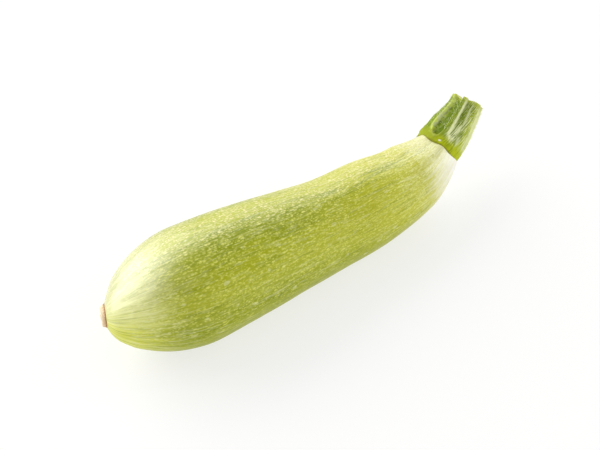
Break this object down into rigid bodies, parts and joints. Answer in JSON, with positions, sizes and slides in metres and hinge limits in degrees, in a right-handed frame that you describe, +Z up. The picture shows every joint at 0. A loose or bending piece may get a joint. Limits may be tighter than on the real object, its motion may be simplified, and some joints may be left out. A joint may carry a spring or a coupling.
{
  "type": "courgette",
  "caption": "Whole pale green courgette, gently bent, with a ribbed cut stem and a dry flower scar, lying on its side.",
  "frame": {"origin": "on the surface it lies on, under the middle of the whole courgette's box", "axes": "+X from the flower end to the stem, +Z up, +Y to the side that the stem bends towards"},
  "size_m": [0.1744, 0.0446, 0.044],
  "materials": {
    "skin": "waxy pale green fruit skin with lighter flecks, satin",
    "stem": "tough ribbed green stem with fine hairs, dull",
    "scar": "dry corky tan, dull"
  },
  "bodies": {
    "root": {"fruit": "skin", "stem": "stem", "flower_scar": "scar"}
  },
  "joints": []
}
